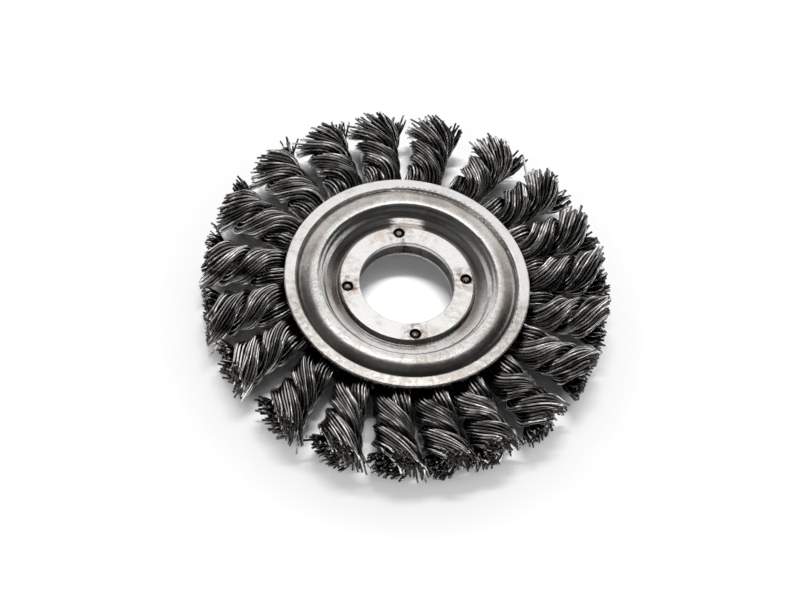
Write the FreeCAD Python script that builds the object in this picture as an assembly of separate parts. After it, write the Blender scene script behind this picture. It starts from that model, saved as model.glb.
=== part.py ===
"""Twisted-knot wire wheel brush for an angle grinder.

Two identical stamped side plates are riveted together around a split hub
ring. The cavity between their dished flanks traps a slotted carrier ring,
and every wire knot is one bundle threaded through a slot of that ring,
folded outward and twisted into two strands that leave between the plates'
rims. The origin is the middle of the arbor bore, +Z is the wheel's axis, and
the wheel lies on its side as it rests on a bench.
"""
import FreeCAD
import Part
import math
import os

# Hub and arbor bore
bore_radius = 11.115
sheet = 1.0
hub_ring_height = 3.0
hub_ring_width = 1.9
hub_ring_relief = 0.1
hub_ring_gap = 4.6
hub_ring_gap_angle = 74.0
hub_ring_end_round = 0.9
seat_clearance = 0.05

# Rivets that draw the two plates together, just outside the hub ring
rivet_count = 4
rivet_clearance = 0.2
rivet_shank_radius = 0.75
rivet_head_radius = 0.95
rivet_head_height = 0.2
rivet_tip_radius = 0.5
rivet_tip_below_pad = 0.1
rivet_well_radius = 1.3
rivet_well_depth = 0.55

# Stamped side plate, front face, from the pad round the bore outwards
pad_margin = 1.69
pad_wall_run = 0.4
pad_height = 1.45
valley_width = 1.45
valley_rise = 0.15
dish_run = 1.6
dish_rise = 0.75
flank_run = 1.35
flank_rise = 2.65
crest_run = 1.15
crest_rise = 0.2
shoulder_run = 1.6
shoulder_fall = 0.1
band_run = 1.6
band_fall = 0.7
rim_fold_run = 1.1
rim_fold_fall = 0.95
lip_step_run = 0.35
lip_step_rise = 0.9
lip_width = 2.55
lip_fall = 0.15
tight_bend = 0.3
valley_bend = 3.0
dish_bend = 1.3
crest_bend = 1.5
band_bend = 4.0
bore_edge_round = 0.2
rim_edge_round = 0.35

# Carrier ring and the loop of each knot through it
knot_count = 20
knot_ring_angle = 2.8
carrier_thickness = 1.6
carrier_edge_round = 0.3
carrier_clearance = 0.35
slot_clearance = 0.12
slot_inner_web = 0.85
slot_outer_web = 0.9
loop_half_height = 1.05
loop_half_width = 1.95
loop_seat = 0.1
loop_bend = 1.25

# Twisted part of a knot: two strands that turn about the knot's own axis
knot_ring_gap = 0.3
fold_margin = 0.25
crimp_clearance = 0.45
neighbour_gap = 0.75
twist_half_length = 4.3
twist_half_width = 4.2
strand_groove = 0.42
groove_sharpness = 12
tuft_length = 18.9
section_points = 36

# Places that follow from the sizes above
hub_ring_inner = bore_radius + hub_ring_relief
hub_ring_outer = hub_ring_inner + hub_ring_width
rivet_circle_radius = hub_ring_outer + rivet_clearance + rivet_shank_radius
pad_radius = rivet_circle_radius + pad_margin
pad_top = hub_ring_height / 2 + sheet + seat_clearance
valley_top = pad_top - pad_height
valley_radius = pad_radius + pad_wall_run
dish_radius = valley_radius + valley_width
dish_top = valley_top + valley_rise
flank_foot_radius = dish_radius + dish_run
flank_foot_top = dish_top + dish_rise
crest_radius = flank_foot_radius + flank_run
crest_top = flank_foot_top + flank_rise
ridge_radius = crest_radius + crest_run
ridge_top = crest_top + crest_rise
shoulder_radius = ridge_radius + shoulder_run
shoulder_top = ridge_top - shoulder_fall
band_radius = shoulder_radius + band_run
band_top = shoulder_top - band_fall
groove_radius = band_radius + rim_fold_run
groove_top = band_top - rim_fold_fall
lip_radius = groove_radius + lip_step_run
lip_top = groove_top + lip_step_rise
rim_radius = lip_radius + lip_width
rim_top = lip_top - lip_fall
flank_slope = flank_rise / flank_run
flank_drop = sheet * math.hypot(1, flank_slope)
dish_slope = dish_rise / dish_run
dish_drop = sheet * math.hypot(1, dish_slope)
flank_bearing = flank_foot_radius + (carrier_thickness / 2 - flank_foot_top + flank_drop) / flank_slope
dish_bearing = dish_radius + (carrier_thickness / 2 - dish_top + dish_drop) / dish_slope
carrier_inner = min(flank_bearing, dish_bearing) + carrier_clearance
slot_half = loop_half_height + slot_clearance
slot_circle_radius = carrier_inner + slot_inner_web + slot_half
carrier_outer = slot_circle_radius + slot_half + slot_outer_web
knot_start = carrier_outer + knot_ring_gap
loop_height = carrier_thickness / 2 + loop_seat + loop_half_height

origin = FreeCAD.Vector(0, 0, 0)
x_axis = FreeCAD.Vector(1, 0, 0)
y_axis = FreeCAD.Vector(0, 1, 0)
z_axis = FreeCAD.Vector(0, 0, 1)


def rounded_face(corners):
    """Face in the XZ plane with corners (radius from axis, z, bend radius).

    A bend is an arc. Where a straight run is too short for the bends at its
    two ends, they share it.
    """
    count = len(corners)
    points = [FreeCAD.Vector(r, 0, z) for r, z, bend in corners]
    halves = []
    wishes = []
    for i, (r, z, bend) in enumerate(corners):
        back = points[i - 1] - points[i]
        ahead = points[(i + 1) % count] - points[i]
        half = back.getAngle(ahead) / 2
        halves.append(half)
        wishes.append(bend / math.tan(half))
    firsts = []
    middles = []
    lasts = []
    for i, half in enumerate(halves):
        here = points[i]
        reach = wishes[i]
        for j in (i - 1, (i + 1) % count):
            wanted = wishes[i] + wishes[j]
            length = (points[j] - here).Length
            if wanted > 0.98 * length:
                reach = min(reach, 0.98 * length * wishes[i] / wanted)
        back = points[i - 1] - here
        ahead = points[(i + 1) % count] - here
        back.normalize()
        ahead.normalize()
        inward = back + ahead
        inward.normalize()
        bend = reach * math.tan(half)
        firsts.append(here + back * reach)
        lasts.append(here + ahead * reach)
        middles.append(here + inward * (bend / math.sin(half) - bend))
    edges = []
    for i in range(count):
        following = (i + 1) % count
        if (lasts[i] - firsts[i]).Length > 1e-6:
            edges.append(Part.Arc(firsts[i], middles[i], lasts[i]).toShape())
        edges.append(Part.LineSegment(lasts[i], firsts[following]).toShape())
    return Part.Face(Part.Wire(edges))


def sheet_corners(line, thickness):
    """Corners of a sheet of even thickness whose upper face follows the line.

    The lower face is the same line moved square to itself, its inner bends
    tighter and its outer bends wider by the thickness.
    """
    normals = []
    for (r0, z0, b0), (r1, z1, b1) in zip(line, line[1:]):
        length = math.hypot(r1 - r0, z1 - z0)
        normals.append(((z1 - z0) / length, (r0 - r1) / length))
    before = normals[:1] + normals
    after = normals + normals[-1:]
    lower = []
    for (r, z, bend), (br, bz), (ar, az) in zip(line, before, after):
        share = thickness / (1 + br * ar + bz * az)
        rising = br * az - bz * ar
        if rising > 0:
            lower_bend = bend + thickness
        else:
            lower_bend = max(bend - thickness, 0.0)
        lower.append((r + share * (br + ar), z + share * (bz + az), lower_bend))
    return line + lower[::-1]


def plate_line():
    """Upper face of the front plate from the bore to the rim."""
    return [
        (bore_radius, pad_top, bore_edge_round),
        (pad_radius, pad_top, tight_bend),
        (valley_radius, valley_top, tight_bend),
        (dish_radius, dish_top, valley_bend),
        (flank_foot_radius, flank_foot_top, dish_bend),
        (crest_radius, crest_top, crest_bend),
        (ridge_radius, ridge_top, band_bend),
        (shoulder_radius, shoulder_top, band_bend),
        (band_radius, band_top, band_bend),
        (groove_radius, groove_top, tight_bend / 2),
        (lip_radius, lip_top, tight_bend),
        (rim_radius, rim_top, rim_edge_round),
    ]


def around(shape, count):
    """Copies of a shape spread evenly around the wheel's axis."""
    return [shape.rotated(origin, z_axis, 360.0 / count * i) for i in range(count)]


def front_plate():
    """Stamped side plate with a staking well and a hole at every rivet."""
    plate = rounded_face(sheet_corners(plate_line(), sheet)).revolve(origin, z_axis, 360)
    well = Part.makeCylinder(
        rivet_well_radius,
        pad_top,
        FreeCAD.Vector(rivet_circle_radius, 0, pad_top - rivet_well_depth),
    )
    hole = Part.makeCylinder(
        rivet_shank_radius + seat_clearance,
        pad_top,
        FreeCAD.Vector(rivet_circle_radius, 0, 0),
    )
    cutters = around(well, rivet_count) + around(hole, rivet_count)
    return plate.cut(cutters)


def hub_ring():
    """Flat bar rolled into a ring between the pads, open at one place.

    The gap's two sides are rounded ends of the bar.
    """
    half = hub_ring_height / 2
    foot = FreeCAD.Vector(0, 0, -half)
    ring = Part.makeCylinder(hub_ring_outer, hub_ring_height, foot)
    ring = ring.cut(Part.makeCylinder(hub_ring_inner, hub_ring_height, foot))
    bend = min(hub_ring_end_round, 0.9 * half)
    half_gap = hub_ring_gap / 2
    lean = bend * (1 - math.sqrt(0.5))
    edges = []
    for side in (1, -1):
        start = FreeCAD.Vector(0, side * (half_gap + bend), -side * half)
        low = FreeCAD.Vector(0, side * half_gap, -side * (half - bend))
        high = FreeCAD.Vector(0, side * half_gap, side * (half - bend))
        head = FreeCAD.Vector(0, side * (half_gap + bend), side * half)
        far_head = FreeCAD.Vector(0, -side * (half_gap + bend), side * half)
        low_middle = FreeCAD.Vector(0, side * (half_gap + lean), -side * (half - lean))
        high_middle = FreeCAD.Vector(0, side * (half_gap + lean), side * (half - lean))
        edges.append(Part.Arc(start, low_middle, low).toShape())
        edges.append(Part.LineSegment(low, high).toShape())
        edges.append(Part.Arc(high, high_middle, head).toShape())
        edges.append(Part.LineSegment(head, far_head).toShape())
    gap = Part.Face(Part.Wire(edges)).extrude(x_axis * (2 * hub_ring_outer))
    return ring.cut(gap.rotated(origin, z_axis, hub_ring_gap_angle))


def hub_rivets():
    """Headed pins through both pads, just outside the hub ring."""
    tip = pad_top - rivet_tip_below_pad
    seat = pad_top - rivet_well_depth
    shoulder = seat + rivet_head_height
    half_outline = [
        (0.0, tip),
        (rivet_tip_radius, tip),
        (rivet_head_radius, shoulder),
        (rivet_head_radius, seat),
        (rivet_shank_radius, seat),
    ]
    mirrored = [(r, -z) for r, z in half_outline[::-1]]
    points = [FreeCAD.Vector(r, 0, z) for r, z in half_outline + mirrored]
    face = Part.Face(Part.makePolygon(points + points[:1]))
    rivet = face.revolve(origin, z_axis, 360)
    rivet.translate(x_axis * rivet_circle_radius)
    return Part.makeCompound(around(rivet, rivet_count))


def oval(half_width, half_height, centre, up):
    """Ellipse face across a loop: its width is tangential, its height along up."""
    across = centre + y_axis * half_width
    if half_width >= half_height:
        ellipse = Part.Ellipse(across, centre + up * half_height, centre)
    else:
        ellipse = Part.Ellipse(centre + up * half_height, across, centre)
    return Part.Wire(ellipse.toShape())


def knot_carrier():
    """Flat ring in the cavity between the plates, with a slot for each knot."""
    half = carrier_thickness / 2
    ring = rounded_face([
        (carrier_inner, -half, carrier_edge_round),
        (carrier_outer, -half, carrier_edge_round),
        (carrier_outer, half, carrier_edge_round),
        (carrier_inner, half, carrier_edge_round),
    ]).revolve(origin, z_axis, 360)
    centre = FreeCAD.Vector(slot_circle_radius, 0, -half)
    outline = oval(loop_half_width + slot_clearance, slot_half, centre, x_axis)
    slot = Part.Face(outline).extrude(z_axis * carrier_thickness)
    return ring.cut(around(slot, knot_count)).rotated(origin, z_axis, knot_ring_angle)


def knot_loop():
    """Fold of the bundle: out over the ring, down through its slot and out below."""
    start = FreeCAD.Vector(knot_start, 0, loop_height)
    above = FreeCAD.Vector(slot_circle_radius + loop_bend, 0, loop_height)
    turn = loop_bend * (1 - math.sqrt(0.5))
    bent_above = FreeCAD.Vector(slot_circle_radius + turn, 0, loop_height - turn)
    inside = FreeCAD.Vector(slot_circle_radius, 0, loop_height - loop_bend)
    inside_below = FreeCAD.Vector(slot_circle_radius, 0, loop_bend - loop_height)
    bent_below = FreeCAD.Vector(slot_circle_radius + turn, 0, turn - loop_height)
    below = FreeCAD.Vector(slot_circle_radius + loop_bend, 0, -loop_height)
    end = FreeCAD.Vector(knot_start, 0, -loop_height)
    path = Part.Wire([
        Part.LineSegment(start, above).toShape(),
        Part.Arc(above, bent_above, inside).toShape(),
        Part.LineSegment(inside, inside_below).toShape(),
        Part.Arc(inside_below, bent_below, below).toShape(),
        Part.LineSegment(below, end).toShape(),
    ])
    section = oval(loop_half_width, loop_half_height, start, z_axis)
    return path.makePipeShell([section], True, False)


def knot_stations():
    """Sections of a knot from the carrier ring to the cut tips.

    Each is a distance from the wheel's axis, the turn of the strand pair in
    degrees, the half length across both strands, the half width of a strand
    and the depth of the groove between the strands as a share of that width.
    The strands leave the ring one above the other, lie side by side where
    the plates crimp them, then make one full turn round each other and flare.
    """
    hidden = groove_radius - knot_start
    covered = rim_radius - groove_radius
    side_by_side = math.pi * groove_radius / knot_count - neighbour_gap / 2
    crimp = groove_top - sheet - crimp_clearance
    folded = loop_height + loop_half_height
    stations = [
        (knot_start, 270.0, folded + fold_margin, 1.55 * loop_half_width, 0.2 * strand_groove),
        (knot_start + 0.26 * hidden, 249.0, 0.90 * folded, 1.35 * loop_half_width, 0.4 * strand_groove),
        (knot_start + 0.56 * hidden, 226.0, 0.86 * folded, 1.12 * loop_half_width, 0.7 * strand_groove),
        (groove_radius, 198.0, side_by_side, crimp, 0.8 * strand_groove),
        (groove_radius + 0.5 * covered, 195.0, 1.09 * side_by_side, 1.09 * crimp, 0.9 * strand_groove),
        (rim_radius, 192.0, 1.15 * side_by_side, 1.24 * crimp, strand_groove),
    ]
    free = [
        (0.12, 182.0, 1.04, 0.82, 1.0),
        (0.25, 155.0, 1.00, 0.96, 1.0),
        (0.32, 129.0, 1.00, 1.00, 1.0),
        (0.38, 100.0, 1.00, 1.00, 1.0),
        (0.45, 66.0, 1.00, 1.00, 1.0),
        (0.52, 31.0, 1.01, 1.02, 1.0),
        (0.59, -2.0, 1.03, 1.05, 1.0),
        (0.65, -31.0, 1.07, 1.10, 1.0),
        (0.71, -59.0, 1.13, 1.16, 1.0),
        (0.77, -86.0, 1.20, 1.23, 0.9),
        (0.83, -110.0, 1.27, 1.31, 0.9),
        (0.89, -133.0, 1.35, 1.41, 0.8),
        (0.95, -155.0, 1.42, 1.51, 0.7),
        (1.00, -172.0, 1.49, 1.62, 0.6),
    ]
    for share, turn, length, width, groove in free:
        stations.append((
            rim_radius + share * tuft_length,
            turn,
            length * twist_half_length,
            width * twist_half_width,
            groove * strand_groove,
        ))
    return stations


def knot_section(distance, turn, half_length, half_width, groove):
    """Closed curve round the strand pair in a plane square to the radius.

    It is an ellipse with a groove at both ends of its short axis, where the
    two strands meet, turned about the knot's own axis.
    """
    c = math.cos(math.radians(turn))
    s = math.sin(math.radians(turn))
    points = []
    for i in range(section_points):
        angle = 2 * math.pi * i / section_points
        dent = 1 - groove * abs(math.sin(angle)) ** groove_sharpness
        along = half_length * math.cos(angle) * dent
        across = half_width * math.sin(angle) * dent
        points.append(FreeCAD.Vector(distance, along * c - across * s, along * s + across * c))
    curve = Part.BSplineCurve()
    even = list(range(section_points + 1))
    curve.interpolate(Points=points, PeriodicFlag=True, Parameters=even)
    return curve


def skin(sections, distances):
    """Solid whose wall runs smoothly through closed curves of like make.

    The curves share their parameters, so a smooth curve through each pole's
    places gives the poles of the wall. Flat faces close both ends.
    """
    columns = []
    for places in zip(*[section.getPoles() for section in sections]):
        column = Part.BSplineCurve()
        column.interpolate(Points=list(places), Parameters=distances)
        columns.append(column)
    wall = Part.BSplineSurface()
    wall.buildFromPolesMultsKnots(
        [column.getPoles() for column in columns],
        sections[0].getMultiplicities(),
        columns[0].getMultiplicities(),
        sections[0].getKnots(),
        columns[0].getKnots(),
        True,
        False,
        sections[0].Degree,
        columns[0].Degree,
    )
    faces = [wall.toShape()]
    for section in (sections[0], sections[-1]):
        faces.append(Part.Face(Part.Wire(section.toShape())))
    shell = Part.Shell(faces)
    shell.sewShape()
    return Part.Solid(shell)


def knot():
    """One bundle of wire: its fold in the carrier ring and its twisted tuft."""
    stations = knot_stations()
    sections = [knot_section(*station) for station in stations]
    distances = [station[0] for station in stations]
    return skin(sections, distances).fuse(knot_loop())


def export(name, shape):
    """Write one sub-part and print its size as a check."""
    shape.exportStep(os.path.join("parts", name + ".step"))
    print(name, shape.isValid(), len(shape.Solids), round(shape.Volume, 1))


os.makedirs("parts", exist_ok=True)
plate = front_plate()
export("front_plate", plate)
export("rear_plate", plate.rotated(origin, x_axis, 180))
export("hub_ring", hub_ring())
export("hub_rivets", hub_rivets())
export("knot_carrier", knot_carrier())
tufts = around(knot().rotated(origin, z_axis, knot_ring_angle), knot_count)
for number, tuft in enumerate(tufts, start=1):
    export("knot_%02d" % number, tuft)
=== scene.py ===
"""Looks of the twisted-knot wire wheel brush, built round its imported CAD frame.

The wheel lies flat on a white table. Lengths are in metres. The origin is the
middle of the arbor bore and +Z is the wheel's axis.
"""
import math

import bpy
import numpy as np
from mathutils import Matrix, Vector


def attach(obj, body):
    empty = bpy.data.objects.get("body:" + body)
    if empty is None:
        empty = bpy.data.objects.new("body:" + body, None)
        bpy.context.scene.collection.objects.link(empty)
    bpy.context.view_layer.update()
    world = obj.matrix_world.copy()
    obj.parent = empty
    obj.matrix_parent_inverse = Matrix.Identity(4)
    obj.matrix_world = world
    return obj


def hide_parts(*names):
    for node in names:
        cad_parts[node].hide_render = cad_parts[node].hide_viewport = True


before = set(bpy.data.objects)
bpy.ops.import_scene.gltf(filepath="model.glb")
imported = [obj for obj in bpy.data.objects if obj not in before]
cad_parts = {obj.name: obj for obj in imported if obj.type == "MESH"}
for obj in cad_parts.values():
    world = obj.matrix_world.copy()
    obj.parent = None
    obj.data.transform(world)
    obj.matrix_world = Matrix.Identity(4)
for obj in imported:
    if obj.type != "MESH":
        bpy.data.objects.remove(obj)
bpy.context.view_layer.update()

# Side plates: two identical pressings of 1 mm sheet steel, bright from the
# press and only oiled, so they carry brown stains and rust round the rivets.
# Their corners, rivet wells and the lip round the low heading are painted
# dark as shade. Rivets draw them together round the hub.
rivet_circle = 0.014065
well_radius = 0.0013
well_edge = 1.14 * well_radius
halo_radius = 0.0046
stain_end = 0.0256
lip_wall_radius = 0.02618
lip_foot = 0.0262
lip_start = 0.0264
# Distances from the lip's wall at which its painted shade line, and its normal lean, are full and have
# faded out.
wall_shade_line = (0.0001, 0.0003)
wall_lean_line = (0.0001, 0.0004)
# Distances from the axis at which a zone starts, is full, is still full, ends.
foot_zone = (0.0162, 0.0168, 0.0175, 0.0181)
dish_zone = (0.0174, 0.0180, 0.0190, 0.0195)
flank_zone = (0.0191, 0.0195, 0.0200, 0.0206)
flank_rise = (0.0196, 0.0204)
band_zone = (0.0212, 0.0228, 0.0262, 0.0265)
speckle_zone = (0.0154, 0.0162, 0.0258, 0.0264)
foot_shade_zone = (0.0157, 0.0164, 0.0168, 0.0197)
# How far the shading normal leans outward there, as a share of its length.
foot_lean = -0.26
dish_lean = 0.23
flank_lean = 0.45
crest_lean = 0.33
lip_wall_lean = 0.8
low_heading = 261.5
high_heading = 81.5
lip_shade_headings = (212.0, 262.0, 312.0)
steel_colour = (0.63, 0.622, 0.61, 1.0)
worn_and_shade_colour = (0.36, 0.335, 0.31, 1.0)
stain_colour = (0.42, 0.31, 0.24, 1.0)
rust_colour = (0.20, 0.10, 0.055, 1.0)
band_colour = (0.25, 0.215, 0.185, 1.0)
speckle_colour = (0.20, 0.17, 0.145, 1.0)
foot_shade_colour = (0.13, 0.10, 0.08, 1.0)
grime_and_shade_colour = (0.012, 0.011, 0.010, 1.0)
# Widths of the noise's patches, then how far each layer covers the one below.
mottle_size = 0.0012
patch_size = 0.007
speck_size = 0.00045
stain_size = 0.005
worn_share = 0.7
stain_share = 0.55
lip_stain = 0.35
all_stain = 0.74
rust_share = 0.9
band_share = 0.46
band_base = 0.6
speckle_share = 0.30
foot_shade_share = 0.8
wall_shade_share = 0.35
lip_grain = 0.30
lip_shade_scatter = 0.25
foot_shade_scatter = 0.3
smoothest = 0.16
roughest = 0.32
rust_and_well_roughness = 0.3
mottle_pits = 0.6
speck_pits = 0.4
pit_depth = 0.00005


def node(tree, kind, inputs=(), **settings):
    """New shader node; an input given a socket is linked, any other is set."""
    made = tree.nodes.new("ShaderNode" + kind)
    for name, value in settings.items():
        setattr(made, name, value)
    for place, value in inputs:
        if isinstance(value, bpy.types.NodeSocket):
            tree.links.new(value, made.inputs[place])
        else:
            made.inputs[place].default_value = value
    return made


def maths(tree, operation, a, b=0.0):
    """Value of one arithmetic step on two values or sockets."""
    return node(tree, "Math", [(0, a), (1, b)], operation=operation).outputs[0]


def times(tree, *values):
    """Product of values or sockets."""
    result = values[0]
    for value in values[1:]:
        result = maths(tree, "MULTIPLY", result, value)
    return result


def plus(tree, *values):
    """Sum of values or sockets."""
    result = values[0]
    for value in values[1:]:
        result = maths(tree, "ADD", result, value)
    return result


def dot(tree, a, b):
    """Dot product of two vectors or sockets."""
    made = node(tree, "VectorMath", [(0, a), (1, b)], operation="DOT_PRODUCT")
    return made.outputs["Value"]


def fade(tree, value, full, none):
    """1 where the value is at full, 0 where it is at none, smooth between."""
    return node(
        tree, "MapRange",
        [("Value", value), ("From Min", none), ("From Max", full)],
        interpolation_type="SMOOTHSTEP",
    ).outputs[0]


def zone(tree, value, limits):
    """1 between the two middle limits, 0 outside the outer two, smooth between."""
    start, full, still, end = limits
    return times(tree, fade(tree, value, full, start), fade(tree, value, still, end))


def cloud(tree, place, size, detail=4.0, roughness=0.6):
    """Noise from 0 to 1 with patches about as wide as size, in metres."""
    return node(
        tree, "TexNoise",
        [("Vector", place), ("Scale", 1.0 / size), ("Detail", detail), ("Roughness", roughness)],
    ).outputs[0]


def colour_blend(tree, share, under, over):
    """Colour under covered by colour over as far as share says."""
    made = tree.nodes.new("ShaderNodeMix")
    made.data_type = "RGBA"
    for place, value in ((0, share), (6, under), (7, over)):
        if isinstance(value, bpy.types.NodeSocket):
            tree.links.new(value, made.inputs[place])
        else:
            made.inputs[place].default_value = value
    return made.outputs[2]


def metal(name, roughness=0.3):
    """New metallic material and its tree, shader and place on the object."""
    material = bpy.data.materials.new(name)
    material.use_nodes = True
    tree = material.node_tree
    shader = tree.nodes["Principled BSDF"]
    shader.inputs["Metallic"].default_value = 1.0
    shader.inputs["Roughness"].default_value = roughness
    place = node(tree, "TexCoord").outputs["Object"]
    return material, tree, shader, place


def bump(tree, shader, height, depth):
    """Bump of a height map from 0 to 1, that deep in metres, on the shader."""
    made = node(tree, "Bump", [("Height", height), ("Distance", depth), ("Strength", 1.0)])
    tree.links.new(made.outputs[0], shader.inputs["Normal"])
    return made


def toward_heading(tree, direction, degrees):
    """Cosine of the angle between a direction in plan and a heading."""
    heading = math.radians(degrees)
    return dot(tree, direction, (math.cos(heading), math.sin(heading), 0.0))


def plate_colour(tree, place, radius, direction, to_rivet, mottle, patches, specks):
    """Colour of the sheet, and how much of it is rust round the rivets and painted shade in their wells.

    Bright steel is covered, one after the other, by worn patches, the lip painted
    darker as shade round the low heading, brown stains, rust round the rivets,
    the brown band, speckles, painted shade at the pad's foot away from the low
    heading, a painted shade line along the lip's wall and the wells filled with
    painted shade.
    """
    worn = times(tree, fade(tree, patches, 0.66, 0.46), fade(tree, mottle, 0.72, 0.34))
    colour = colour_blend(tree, times(tree, worn, worn_share), steel_colour, worn_and_shade_colour)
    # Painted shade: the lip darkens in sectors round the low heading, broken up by grain.
    on_lip = fade(tree, radius, lip_start, lip_foot)
    grain = plus(tree, fade(tree, mottle, 0.80, 0.20), lip_grain)
    grain = maths(tree, "MINIMUM", grain, 1.0)
    for heading in lip_shade_headings:
        scatter = times(tree, patches, lip_shade_scatter)
        toward = plus(tree, toward_heading(tree, direction, heading), scatter)
        sector = times(tree, fade(tree, toward, 1.06, 0.92), on_lip)
        colour = colour_blend(tree, times(tree, sector, grain), colour, worn_and_shade_colour)
    stain = fade(tree, cloud(tree, place, stain_size, 6.0, 0.7), 0.72, 0.50)
    off_lip = fade(tree, radius, stain_end, lip_start)
    stain = times(tree, stain, stain_share, plus(tree, off_lip, lip_stain), all_stain)
    colour = colour_blend(tree, stain, colour, stain_colour)
    halo = times(tree, fade(tree, to_rivet, well_radius, halo_radius), fade(tree, mottle, 0.66, 0.40))
    colour = colour_blend(tree, times(tree, halo, rust_share), colour, rust_colour)
    band = plus(tree, fade(tree, patches, 0.70, 0.30), band_base)
    band = times(tree, zone(tree, radius, band_zone), band, band_share)
    colour = colour_blend(tree, band, colour, band_colour)
    speckled = times(tree, fade(tree, specks, 0.66, 0.42), zone(tree, radius, speckle_zone))
    colour = colour_blend(tree, times(tree, speckled, speckle_share), colour, speckle_colour)
    # Painted shade: the pad's foot is darkened all round except near the low heading.
    scatter = times(tree, patches, foot_shade_scatter)
    toward = plus(tree, toward_heading(tree, direction, low_heading), scatter)
    foot = times(tree, zone(tree, radius, foot_shade_zone), fade(tree, toward, 0.75, 1.1))
    colour = colour_blend(tree, times(tree, foot, foot_shade_share), colour, foot_shade_colour)
    # Painted shade: a dark line along the lip's wall, where it lies in shade.
    from_wall = maths(tree, "ABSOLUTE", maths(tree, "SUBTRACT", radius, lip_wall_radius))
    wall_shade = times(tree, fade(tree, from_wall, *wall_shade_line), fade(tree, patches, 0.6, 0.2))
    colour = colour_blend(tree, times(tree, wall_shade, wall_shade_share), colour, grime_and_shade_colour)
    # Painted shade: the staked wells round the rivets are filled near-black.
    well_shade = fade(tree, to_rivet, well_radius, well_edge)
    colour = colour_blend(tree, well_shade, colour, grime_and_shade_colour)
    return colour, plus(tree, halo, well_shade)


def plate_lean(tree, radius, direction):
    """Shading normal of the pressing, eased where one slope runs into the next.

    It is the surface's own normal plus a share of the outward direction: at
    the pad's foot, on the dish and flank, and on the lip's low wall.
    """
    shallow = maths(
        tree, "MAXIMUM",
        fade(tree, toward_heading(tree, direction, low_heading), 0.60, 0.20),
        fade(tree, toward_heading(tree, direction, high_heading), 0.995, 0.955))
    steep = maths(tree, "SUBTRACT", 1.0, shallow)
    from_wall = maths(tree, "ABSOLUTE", maths(tree, "SUBTRACT", radius, lip_wall_radius))
    rising = times(tree, fade(tree, radius, flank_rise[1], flank_rise[0]), crest_lean)
    lean = plus(
        tree,
        times(tree, zone(tree, radius, foot_zone), steep, foot_lean),
        times(tree, zone(tree, radius, dish_zone), shallow, dish_lean),
        times(tree, zone(tree, radius, flank_zone), plus(tree, rising, flank_lean)),
        times(tree, fade(tree, from_wall, *wall_lean_line), lip_wall_lean))
    outward = node(tree, "VectorMath", [(0, direction), ("Scale", lean)], operation="SCALE").outputs[0]
    facing = node(tree, "TexCoord").outputs["Normal"]
    leaned = node(tree, "VectorMath", [(0, facing), (1, outward)], operation="ADD").outputs[0]
    return node(tree, "VectorMath", [(0, leaned)], operation="NORMALIZE").outputs[0]


def plate_steel():
    """Stained bright sheet: colour, roughness and pits of the side plates."""
    material, tree, shader, place = metal("plate_steel")
    flat = node(tree, "VectorMath", [(0, place), (1, (1.0, 1.0, 0.0))], operation="MULTIPLY").outputs[0]
    radius = node(tree, "VectorMath", [(0, flat)], operation="LENGTH").outputs["Value"]
    direction = node(tree, "VectorMath", [(0, flat)], operation="NORMALIZE").outputs[0]
    folded = node(tree, "VectorMath", [(0, flat)], operation="ABSOLUTE").outputs[0]
    parts = node(tree, "SeparateXYZ", [(0, folded)]).outputs
    near = maths(tree, "MINIMUM", parts[0], parts[1])
    off = maths(tree, "SUBTRACT", maths(tree, "MAXIMUM", parts[0], parts[1]), rivet_circle)
    to_rivet = maths(tree, "SQRT", plus(tree, times(tree, off, off), times(tree, near, near)))
    mottle = cloud(tree, place, mottle_size, 8.0, 0.7)
    patches = cloud(tree, place, patch_size, 5.0, 0.6)
    specks = cloud(tree, place, speck_size, 3.0, 0.6)
    colour, rust_and_well_shade = plate_colour(tree, place, radius, direction, to_rivet, mottle, patches, specks)
    tree.links.new(colour, shader.inputs["Base Color"])
    rough = node(tree, "MapRange", [("Value", mottle), ("To Min", smoothest), ("To Max", roughest)])
    rough = plus(tree, rough.outputs[0], times(tree, rust_and_well_shade, rust_and_well_roughness))
    tree.links.new(rough, shader.inputs["Roughness"])
    height = plus(tree, times(tree, mottle, mottle_pits), times(tree, specks, speck_pits))
    pits = bump(tree, shader, height, pit_depth)
    tree.links.new(plate_lean(tree, radius, direction), pits.inputs["Normal"])
    return material


sheet_finish = plate_steel()
for name in ("front_plate", "rear_plate"):
    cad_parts[name].material_slots[0].material = sheet_finish

# Hub ring: flat steel bar rolled into a split ring between the two pads. It
# is seen only through the bore, dull grey and unpolished, with its open joint.
ring_colour = (0.10, 0.096, 0.092, 1.0)
ring_dark_colour = (0.035, 0.033, 0.031, 1.0)


def ring_steel():
    """Dull rolled bar with darker scale in patches."""
    material, tree, shader, place = metal("ring_steel", 0.45)
    scale = fade(tree, cloud(tree, place, 0.0015, 6.0, 0.7), 0.68, 0.40)
    tree.links.new(colour_blend(tree, scale, ring_colour, ring_dark_colour), shader.inputs["Base Color"])
    bump(tree, shader, cloud(tree, place, 0.0004), 0.00002)
    return material


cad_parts["hub_ring"].material_slots[0].material = ring_steel()

# Rivets: four plain steel pins, each headed over in a staked well of the pad.
# Their tips shine; the head below them and the well round them are painted dark as shade.
rivet_colour = (0.42, 0.40, 0.38, 1.0)
# Heights from the mid-plane at which the tip is bright and at which the head is painted dark as shade.
rivet_tip = (0.00233, 0.00225)


def rivet_steel():
    """Bright pin ends; the head is painted dark as shade where it slopes down into the well."""
    material, tree, shader, place = metal("rivet_steel", 0.35)
    height = maths(tree, "ABSOLUTE", node(tree, "SeparateXYZ", [(0, place)]).outputs[2])
    tip = fade(tree, height, *rivet_tip)
    tip = times(tree, tip, fade(tree, cloud(tree, place, 0.0005), 0.35, 0.65))
    tree.links.new(colour_blend(tree, tip, grime_and_shade_colour, rivet_colour), shader.inputs["Base Color"])
    return material


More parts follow.
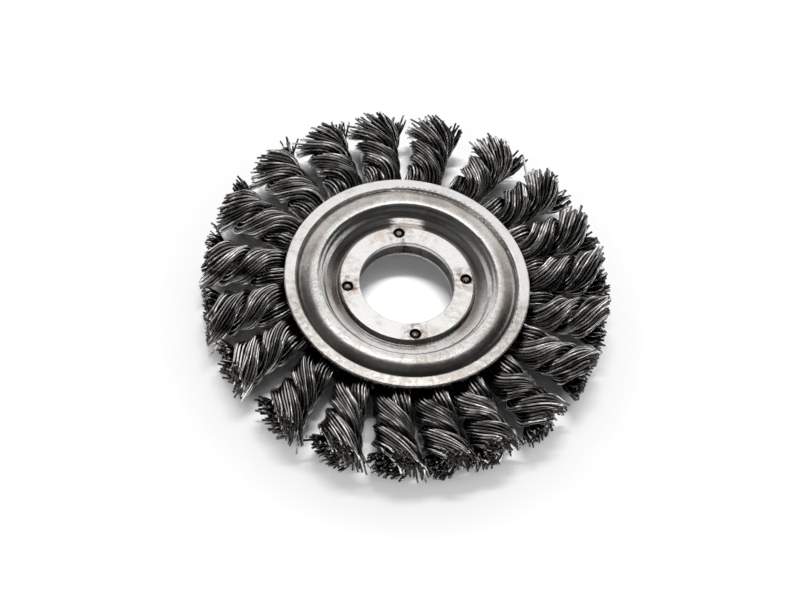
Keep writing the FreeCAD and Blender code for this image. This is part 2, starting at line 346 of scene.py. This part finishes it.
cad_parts["hub_rivets"].material_slots[0].material = rivet_steel()

# Carrier ring: a flat slotted washer in the cavity of the plates that every
# knot is folded round. Only slivers of its dark, oily steel can be seen.
carrier_colour = (0.10, 0.095, 0.09, 1.0)


def carrier_steel():
    """Oily dark sheet."""
    material, tree, shader, place = metal("carrier_steel", 0.4)
    oil = fade(tree, cloud(tree, place, 0.001), 0.7, 0.3)
    tree.links.new(colour_blend(tree, oil, carrier_colour, grime_and_shade_colour), shader.inputs["Base Color"])
    return material


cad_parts["knot_carrier"].material_slots[0].material = carrier_steel()

# Wire knots: twenty bundles of 0.5 mm steel wire, each folded round the carrier
# ring, twisted by machine into a two-strand rope, cut off square and bent a
# little round the wheel in use. Lengths in this section are in mm.
knot_count = 20
knot_ring_angle = 2.8
wire_radius = 0.255
wire_start = 25.4
bend_start = 27.0
bend_end = 42.0
spring_start = 45.5
tip_radius = 47.8
highest_wire = 6.05
full_round = 2 * math.pi
knot_keys = np.array([
    # distance from the axis, turn, half length across both strands, half width of a strand
    (23.4, 268.0, 3.25, 2.60),
    (24.8, 228.0, 2.90, 2.20),
    (26.0, 198.0, 3.70, 1.65),
    (27.5, 195.0, 4.04, 1.80),
    (28.9, 192.0, 4.27, 2.05),
    (31.2, 182.0, 4.47, 3.40),
    (33.6, 155.0, 4.30, 4.00),
    (36.1, 100.0, 4.30, 4.20),
    (38.7, 31.0, 4.34, 4.28),
    (41.2, -31.0, 4.60, 4.60),
    (43.5, -86.0, 5.15, 5.15),
    (45.7, -133.0, 5.75, 5.80),
    (47.8, -172.0, 6.25, 6.50),
])
strand_share = 0.54
knot_habits = [
    # bend round the wheel and lead of the twist, both in degrees, for knots 1 to 20
    (-1.3, -15), (-3.3, 0), (-4.0, 10), (-3.3, 5), (-1.0, 5), (-1.0, 5), (-1.8, 0),
    (-1.6, -10), (-0.5, -20), (1.7, -30), (2.7, -35), (3.2, -20), (5.0, 0), (5.0, 10),
    (4.0, 5), (1.0, 5), (-2.8, 10), (-3.0, 15), (-0.8, 5), (-0.3, 0),
]
wire_layers = [
    # wires in a strand, depth, first distance, stations, sides, looseness, painted depth shade
    (20, 0.26, wire_start, 24, 6, 1.0, 1.0),
    (16, 0.80, wire_start, 20, 5, 1.1, 0.4),
    (13, 1.30, 41.0, 8, 5, 1.1, 0.25),
    (11, 1.85, 41.5, 7, 5, 1.2, 0.2),
    (9, 2.40, 42.0, 6, 5, 1.3, 0.2),
    (6, 3.00, 42.5, 6, 5, 1.4, 0.2),
]
strand_oval = (2.1, 3.9)
lay_back = 0.55
spring_spread = 0.7
cut_spread = 0.8
least_cut = 0.1
cut_slant = 0.8
wander_share = 0.005
wander_pace = 0.45
lift_depth = 0.08
lift_pace = 0.6
sunk_depth = 0.35
sunk_end = 32.5
sunk_run = 4.5
stray_slope = (0.0, 0.13, 0.13)
stray_bend = (0.0, 0.04, 0.04)
spring_slope = (1, 0.9, 0.9)
first_seed = 100
dullest_wire = 0.35
dull_wire_colour = (0.035, 0.033, 0.031, 1.0)
bright_wire_colour = (0.93, 0.905, 0.875, 1.0)
dull_cut_colour = (0.05, 0.047, 0.044, 1.0)
bright_cut_colour = (0.8, 0.79, 0.77, 1.0)
core_depth = 1.0
core_dent = 0.5
core_dent_power = 12
core_end = 44.4
core_sides = 24
core_stations = 26


def through(distance, column):
    """Smooth curve through one column of the knot's keys.

    Between two keys it is the cubic whose slope at each is the slope between
    that key's two neighbours.
    """
    at = knot_keys[:, 0]
    value = knot_keys[:, column]
    slope = np.gradient(value, at)
    right = np.clip(np.searchsorted(at, distance), 1, len(at) - 1)
    left = right - 1
    span = at[right] - at[left]
    t = (distance - at[left]) / span
    return (value[left] * (1 + 2 * t) * (1 - t) ** 2 + value[right] * t * t * (3 - 2 * t)
            + slope[left] * span * t * (1 - t) ** 2 + slope[right] * span * t * t * (t - 1))


def turned_section(distance, along, across, lead):
    """Place (distance, tangential, axial) of a point given along and across
    the strand pair, which has turned about the knot's own axis there."""
    turn = np.radians(through(distance, 1) + lead * np.clip((distance - wire_start) / 5, 0, 1))
    return np.stack([
        distance,
        along * np.cos(turn) - across * np.sin(turn),
        along * np.sin(turn) + across * np.cos(turn),
    ], axis=-1)


def oval_angle(share):
    """Angle on a strand's oval that a share of its way round belongs to."""
    fine = np.linspace(0, full_round, 361)
    step = np.hypot(strand_oval[0] * np.sin(fine), strand_oval[1] * np.cos(fine))
    run = np.concatenate([[0], np.cumsum(step[1:] + step[:-1])])
    whole = np.floor(share)
    return full_round * whole + np.interp(share - whole, run / run[-1], fine)


def helix(distance, side, place, depth, lead):
    """Point of a wire whose place is a share of the way round its strand.

    The strand's oval takes a little over half of the pair's length. While
    the pair turns, the strand turns back about itself by a share of that.
    The wire lies that deep under the oval's skin.
    """
    length = through(distance, 2)
    angle = oval_angle(place - lay_back * through(distance, 1) / 360)
    along = side * (length * (1 - strand_share) + (length * strand_share - depth) * np.cos(angle))
    across = side * (through(distance, 3) - depth) * np.sin(angle)
    return turned_section(distance, along, across, lead)


def wire_lines(rng, side, places, layer, lead):
    """Middle lines of a layer of wires, as wires by stations by 3.

    A wire follows its helix up to where it springs free, then its tangent
    there, bent a little its own way, to its own cut end.
    """
    many, depth, start, count, sides, looseness, depth_shade = layer
    free = spring_start + rng.normal(0, spring_spread, many)
    end = tip_radius - np.abs(rng.normal(0, cut_spread, many)) - least_cut
    share = np.linspace(0, 1, count)
    distance = start + (end[:, None] - start) * share
    held = np.minimum(distance, free[:, None])
    wander = wander_share * looseness * rng.normal(0, 1, (many, 1)) * np.sin(
        wander_pace * held + rng.uniform(0, full_round, (many, 1)))
    lift = depth + lift_depth * looseness * rng.normal(0, 1, (many, 1)) * np.cos(
        lift_pace * held + rng.uniform(0, full_round, (many, 1)))
    sunk = np.arange(many)[:, None] % 3 == 1
    lift = lift + sunk_depth * sunk * np.clip((sunk_end - held) / sunk_run, 0, 1)
    points = helix(held, side, places[:, None] + wander, lift, lead)
    step = 0.2
    last = free[:, None]
    tangent = (helix(last, side, places[:, None], depth, lead)
               - helix(last - step, side, places[:, None], depth, lead)) / step
    beyond = (distance - held)[..., None]
    stray = rng.normal(0, 1, (many, 1, 3)) * stray_slope * looseness
    bend = rng.normal(0, 1, (many, 1, 3)) * stray_bend * looseness
    return points + beyond * (tangent * spring_slope + stray) + beyond ** 2 * bend


def tubes(lines, radius, sides, rng):
    """Round wires along lines: corners, four-cornered walls and end faces.

    Each ring of corners is a circle square to its line. It starts in the
    direction away from the knot's axis, which no wire here runs along. The
    last ring leans a little, as a sheared end does.
    """
    many, count, _ = lines.shape
    run = np.gradient(lines, axis=1)
    run /= np.linalg.norm(run, axis=-1, keepdims=True)
    away = lines * (0, 1, 1) + (0, 0, 1e-3)
    away -= np.sum(away * run, axis=-1, keepdims=True) * run
    away /= np.linalg.norm(away, axis=-1, keepdims=True)
    beside = np.cross(run, away)
    turn = np.linspace(0, full_round, sides, endpoint=False)
    ring = away[:, :, None, :] * np.cos(turn)[:, None] + beside[:, :, None, :] * np.sin(turn)[:, None]
    ring = ring * radius
    corners = lines[:, :, None, :] + ring
    tilt = rng.uniform(-cut_slant, cut_slant, (many, 1, 1)) * radius
    lean = tilt * np.cos(turn + rng.uniform(0, 6, (many, 1)))[..., None]
    corners[:, -1] += run[:, -1, None, :] * lean
    index = np.arange(many * count * sides).reshape(many, count, sides)
    ahead = np.roll(index, -1, axis=2)
    walls = np.stack([index[:, :-1], ahead[:, :-1], ahead[:, 1:], index[:, 1:]], axis=-1).reshape(-1, 4)
    ends = np.concatenate([index[:, 0, ::-1], index[:, -1]]).reshape(-1, sides)
    return corners.reshape(-1, 3), walls, ends


def core(lead):
    """Closed body of the inner wires, painted darkest as shade: corners, walls and end faces.

    Its section is an ellipse with a dent at both ends of its short axis,
    where the two strands meet, and lies under the two outer layers.
    """
    distance = np.linspace(wire_start, core_end, core_stations)[:, None]
    angle = np.linspace(0, full_round, core_sides, endpoint=False)
    dent = 1 - core_dent * np.abs(np.sin(angle)) ** core_dent_power
    along = (through(distance, 2) - core_depth) * np.cos(angle) * dent
    across = (through(distance, 3) - core_depth) * np.sin(angle) * dent
    corners = turned_section(distance + 0 * angle, along, across, lead)
    index = np.arange(core_stations * core_sides).reshape(core_stations, core_sides)
    ahead = np.roll(index, -1, axis=1)
    walls = np.stack([index[:-1], ahead[:-1], ahead[1:], index[1:]], axis=-1).reshape(-1, 4)
    ends = np.stack([index[0, ::-1], index[-1]])
    return corners.reshape(-1, 3), walls, ends


def knot_blocks(number):
    """Parts of one knot's mesh: corners, walls, ends and each corner's tone, in which deeper layers and
    the core carry painted shade.
    """
    rng = np.random.default_rng(first_seed + number)
    lead = knot_habits[number - 1][1]
    corners, walls, ends = core(lead)
    # The core gets tone 0, the darkest wire colour, as painted shade.
    blocks = [(corners, walls, ends, np.zeros(len(corners)), 0)]
    for side in (1, -1):
        for layer in wire_layers:
            many, depth, start, count, sides, looseness, depth_shade = layer
            places = (np.arange(many) + rng.normal(0.5, 0.06, many)) / many
            lines = wire_lines(rng, side, places, layer, lead)
            spread = np.abs(lines[..., 2])
            lines[..., 2] *= np.minimum(1, highest_wire / np.maximum(spread, highest_wire))
            corners, walls, ends = tubes(lines, wire_radius, sides, rng)
            # Painted shade: each deeper layer's tone is scaled down by its depth shade.
            tone = np.repeat(depth_shade * rng.uniform(dullest_wire, 1, many), count * sides)
            blocks.append((corners, walls, ends, tone, 1))
    return blocks


def fill_mesh(mesh, blocks, number):
    """Put a knot's blocks into a mesh, bent and turned to the knot's place.

    The bend is a straight lean from where the plates let the knot go.
    """
    corners = np.concatenate([block[0] for block in blocks])
    tones = np.concatenate([block[3] for block in blocks])
    bent = math.radians(knot_habits[number - 1][0]) * bend_end / (bend_end - bend_start)
    beside = corners[:, 1] + bent * np.maximum(corners[:, 0] - bend_start, 0)
    heading = math.radians(360 / knot_count * (number - 1) + knot_ring_angle)
    placed = np.stack([
        corners[:, 0] * math.cos(heading) - beside * math.sin(heading),
        corners[:, 0] * math.sin(heading) + beside * math.cos(heading),
        corners[:, 2],
    ], axis=-1) / 1000
    loops = []
    sizes = []
    slots = []
    first = 0
    for block in blocks:
        for faces, slot in ((block[1], 0), (block[2], block[4])):
            loops.append((faces + first).ravel())
            sizes.append(np.full(len(faces), faces.shape[1]))
            slots.append(np.full(len(faces), slot))
        first += len(block[0])
    loops = np.concatenate(loops)
    sizes = np.concatenate(sizes)
    slots = np.concatenate(slots)
    mesh.vertices.add(len(placed))
    mesh.vertices.foreach_set("co", placed.ravel())
    mesh.loops.add(len(loops))
    mesh.loops.foreach_set("vertex_index", loops.astype(np.int32))
    mesh.polygons.add(len(sizes))
    mesh.polygons.foreach_set("loop_start", np.concatenate([[0], np.cumsum(sizes)[:-1]]).astype(np.int32))
    mesh.polygons.foreach_set("loop_total", sizes.astype(np.int32))
    mesh.polygons.foreach_set("material_index", slots.astype(np.int32))
    mesh.polygons.foreach_set("use_smooth", slots == 0)
    mesh.attributes.new("tone", "FLOAT", "POINT").data.foreach_set("value", tones)
    mesh.update(calc_edges=True)
    mesh.validate()


def wire_steel():
    """Oily dark drawn wire; each wire has its own tone, and deeper layers and the core are painted darker
    as shade.
    """
    material, tree, shader, place = metal("wire_steel", 0.15)
    tone = node(tree, "Attribute", attribute_name="tone").outputs["Fac"]
    patch = cloud(tree, place, 0.004, 3.0, 0.5)
    mix = maths(tree, "POWER", times(tree, tone, fade(tree, patch, 0.50, 0.10)), 2.4)
    colour = colour_blend(tree, mix, dull_wire_colour, bright_wire_colour)
    tree.links.new(colour, shader.inputs["Base Color"])
    return material


def cut_steel():
    """Bright sheared ends of the wires."""
    material, tree, shader, place = metal("cut_steel", 0.4)
    patch = fade(tree, cloud(tree, place, 0.0006), 0.66, 0.54)
    colour = colour_blend(tree, patch, dull_cut_colour, bright_cut_colour)
    tree.links.new(colour, shader.inputs["Base Color"])
    return material


wire_finish = wire_steel()
cut_finish = cut_steel()
for number in range(1, knot_count + 1):
    mesh = bpy.data.meshes.new("wires_%02d" % number)
    fill_mesh(mesh, knot_blocks(number), number)
    mesh.materials.append(wire_finish)
    mesh.materials.append(cut_finish)
    wires = bpy.data.objects.new("wires_%02d" % number, mesh)
    bpy.context.scene.collection.objects.link(wires)
    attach(wires, "root")
    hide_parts("knot_%02d" % number)

# Table: a matt white sweep that the wheel lies flat on. Far out it turns up
# into a low white wall all round. Away from the wheel it is darker paper that
# glows for what is seen or mirrored: painted light that lifts the wheel's
# shadow there. A weaker glow under the bore is painted light that lifts the
# shadow seen through it.
table_level = -0.00638
table_radius = 3.0
wall_height = 0.95
table_sides = 64
table_colour = (0.95, 0.95, 0.955, 1.0)
outer_table_colour = (0.42, 0.42, 0.425, 1.0)
table_glow = 0.48
near_glow = 0.22
wall_glow = 0.54
bore_glow = 0.11
# Distances from the axis where a tone is full and where it has faded out.
outer_edge = (0.050, 0.043)
near_edge = (0.085, 0.048)
wall_edge = (2.9, 2.0)
bore_edge = (0.0145, 0.0165)
table_turn = np.linspace(0, full_round, table_sides, endpoint=False)
table_rim = table_radius * np.stack([np.cos(table_turn), np.sin(table_turn)], axis=-1)
table_corners = np.concatenate([
    np.c_[table_rim, np.full(table_sides, table_level)],
    np.c_[table_rim, np.full(table_sides, table_level + wall_height)],
])
foot = np.arange(table_sides)
next_foot = np.roll(foot, -1)
table_walls = np.stack([next_foot, foot, foot + table_sides, next_foot + table_sides], axis=-1)
table_mesh = bpy.data.meshes.new("table")
table_mesh.from_pydata(table_corners.tolist(), [], [foot.tolist()] + table_walls.tolist())
table = bpy.data.objects.new("table", table_mesh)
bpy.context.scene.collection.objects.link(table)


def table_white():
    """White paper: its colour, and its glow in rings round the wheel's axis, painted light that lifts the
    shadow under the bore and round the wheel.
    """
    material = bpy.data.materials.new("table_white")
    material.use_nodes = True
    tree = material.node_tree
    shader = tree.nodes["Principled BSDF"]
    shader.inputs["Roughness"].default_value = 0.6
    shader.inputs["Specular IOR Level"].default_value = 0.0
    place = node(tree, "TexCoord").outputs["Object"]
    from_axis = node(tree, "VectorMath", [(0, place)], operation="LENGTH").outputs["Value"]
    outside = fade(tree, from_axis, *outer_edge)
    white = colour_blend(tree, outside, table_colour, outer_table_colour)
    tree.links.new(white, shader.inputs["Base Color"])
    # Painted light: the glow near the wheel and under the bore lifts the shadow there.
    glow = plus(tree, times(tree, fade(tree, from_axis, *near_edge), near_glow), table_glow)
    glow = plus(tree, times(tree, outside, glow),
                times(tree, fade(tree, from_axis, *bore_edge), bore_glow),
                times(tree, fade(tree, from_axis, *wall_edge), wall_glow))
    paths = node(tree, "LightPath").outputs
    mirrored = maths(tree, "MAXIMUM", paths["Is Glossy Ray"], paths["Is Transmission Ray"])
    seen = maths(tree, "MAXIMUM", paths["Is Camera Ray"], mirrored)
    shader.inputs["Emission Color"].default_value = (1.0, 1.0, 1.0, 1.0)
    tree.links.new(times(tree, glow, seen), shader.inputs["Emission Strength"])
    return material


table_mesh.materials.append(table_white())

# Camera: it looks down on the wheel from the front at the photograph's angle,
# rolled a little, with a long lens.
camera_azimuth = math.radians(-17.2)
camera_elevation = math.radians(56.63)
camera_roll = math.radians(11.145)
camera_distance = 0.450
aim_right = -0.001398
aim_up = -0.002714
back = Vector((
    math.sin(camera_azimuth) * math.cos(camera_elevation),
    -math.cos(camera_azimuth) * math.cos(camera_elevation),
    math.sin(camera_elevation),
))
level_right = Vector((math.cos(camera_azimuth), math.sin(camera_azimuth), 0.0))
level_up = back.cross(level_right)
right = math.cos(camera_roll) * level_right + math.sin(camera_roll) * level_up
up = -math.sin(camera_roll) * level_right + math.cos(camera_roll) * level_up
stand = back * camera_distance
toward = (stand - aim_right * right - aim_up * up).normalized()
across = up.cross(toward).normalized()
camera_data = bpy.data.cameras.new("camera")
camera_data.lens = 86.175
camera_data.sensor_width = 36.0
camera = bpy.data.objects.new("camera", camera_data)
turned = Matrix((across, toward.cross(across), toward)).transposed()
camera.matrix_world = Matrix.Translation(stand) @ turned.to_4x4()
bpy.context.scene.collection.objects.link(camera)
bpy.context.scene.camera = camera

# Light: a long narrow lamp behind, above and a little left of the wheel throws
# its shadow. The room has a broad white screen behind the wheel, which a soft
# box carries on up almost overhead, and is dark elsewhere.
away_from_camera = Vector((-back.x, -back.y, 0.0)).normalized()


def lamp(name, left_degrees, height_degrees, distance, width, height, power):
    """Area lamp facing the wheel, so many degrees left of straight behind it."""
    height_angle = math.radians(height_degrees)
    flat = Matrix.Rotation(math.radians(left_degrees), 3, "Z") @ away_from_camera
    direction = flat * math.cos(height_angle) + Vector((0, 0, math.sin(height_angle)))
    data = bpy.data.lights.new(name, "AREA")
    data.shape = "RECTANGLE"
    data.size = width
    data.size_y = height
    data.energy = power
    made = bpy.data.objects.new(name, data)
    made.location = direction * distance
    made.visible_glossy = False
    made.rotation_euler = direction.to_track_quat("Z", "Y").to_euler()
    bpy.context.scene.collection.objects.link(made)


lamp("long_lamp", left_degrees=18, height_degrees=67, distance=2.0, width=0.80, height=0.16, power=31.0)

screen_level = 1.25
lamp_level = 3.5
top_fill = 0.08
left_fill = 0.08
dark_level = 0.03
# The screen's width is in radians from straight behind. The others are parts
# of a unit direction to the side, up and away: zones, or full and faded out.
screen_width = (-1.20, -0.70, 0.42, 1.00)
box_width = (-0.42, -0.22, 0.20, 0.36)
lamp_height = (0.915, 0.930, 0.955, 0.970)
screen_top = (0.60, 0.80)
box_foot = (0.70, 0.60)
box_end = (0.16, 0.04)
top_fill_edge = (0.95, 0.60)
left_fill_edge = (-0.90, -0.30)


def fill_room(tree):
    """Light of the room by direction: screen, soft box, lamp and weak fills."""
    sky = node(tree, "TexCoord").outputs["Generated"]
    forward = dot(tree, sky, tuple(away_from_camera))
    sideways = dot(tree, sky, tuple(level_right))
    height = node(tree, "SeparateXYZ", [(0, sky)]).outputs[2]
    heading = maths(tree, "ARCTAN2", sideways, forward)
    screen = times(tree, zone(tree, heading, screen_width), fade(tree, height, *screen_top))
    box = times(tree, zone(tree, sideways, box_width),
                fade(tree, height, *box_foot), fade(tree, forward, *box_end))
    light = plus(tree, times(tree, maths(tree, "MAXIMUM", screen, box), screen_level),
                 times(tree, zone(tree, height, lamp_height), box, lamp_level),
                 times(tree, fade(tree, height, *top_fill_edge), top_fill),
                 times(tree, fade(tree, sideways, *left_fill_edge), left_fill),
                 dark_level)
    background = tree.nodes["Background"]
    tree.links.new(light, background.inputs["Strength"])
    background.inputs["Color"].default_value = (1.0, 1.0, 1.0, 1.0)


world = bpy.data.worlds.new("room")
world.use_nodes = True
bpy.context.scene.world = world
fill_room(world.node_tree)

bpy.context.scene.view_settings.view_transform = "Standard"
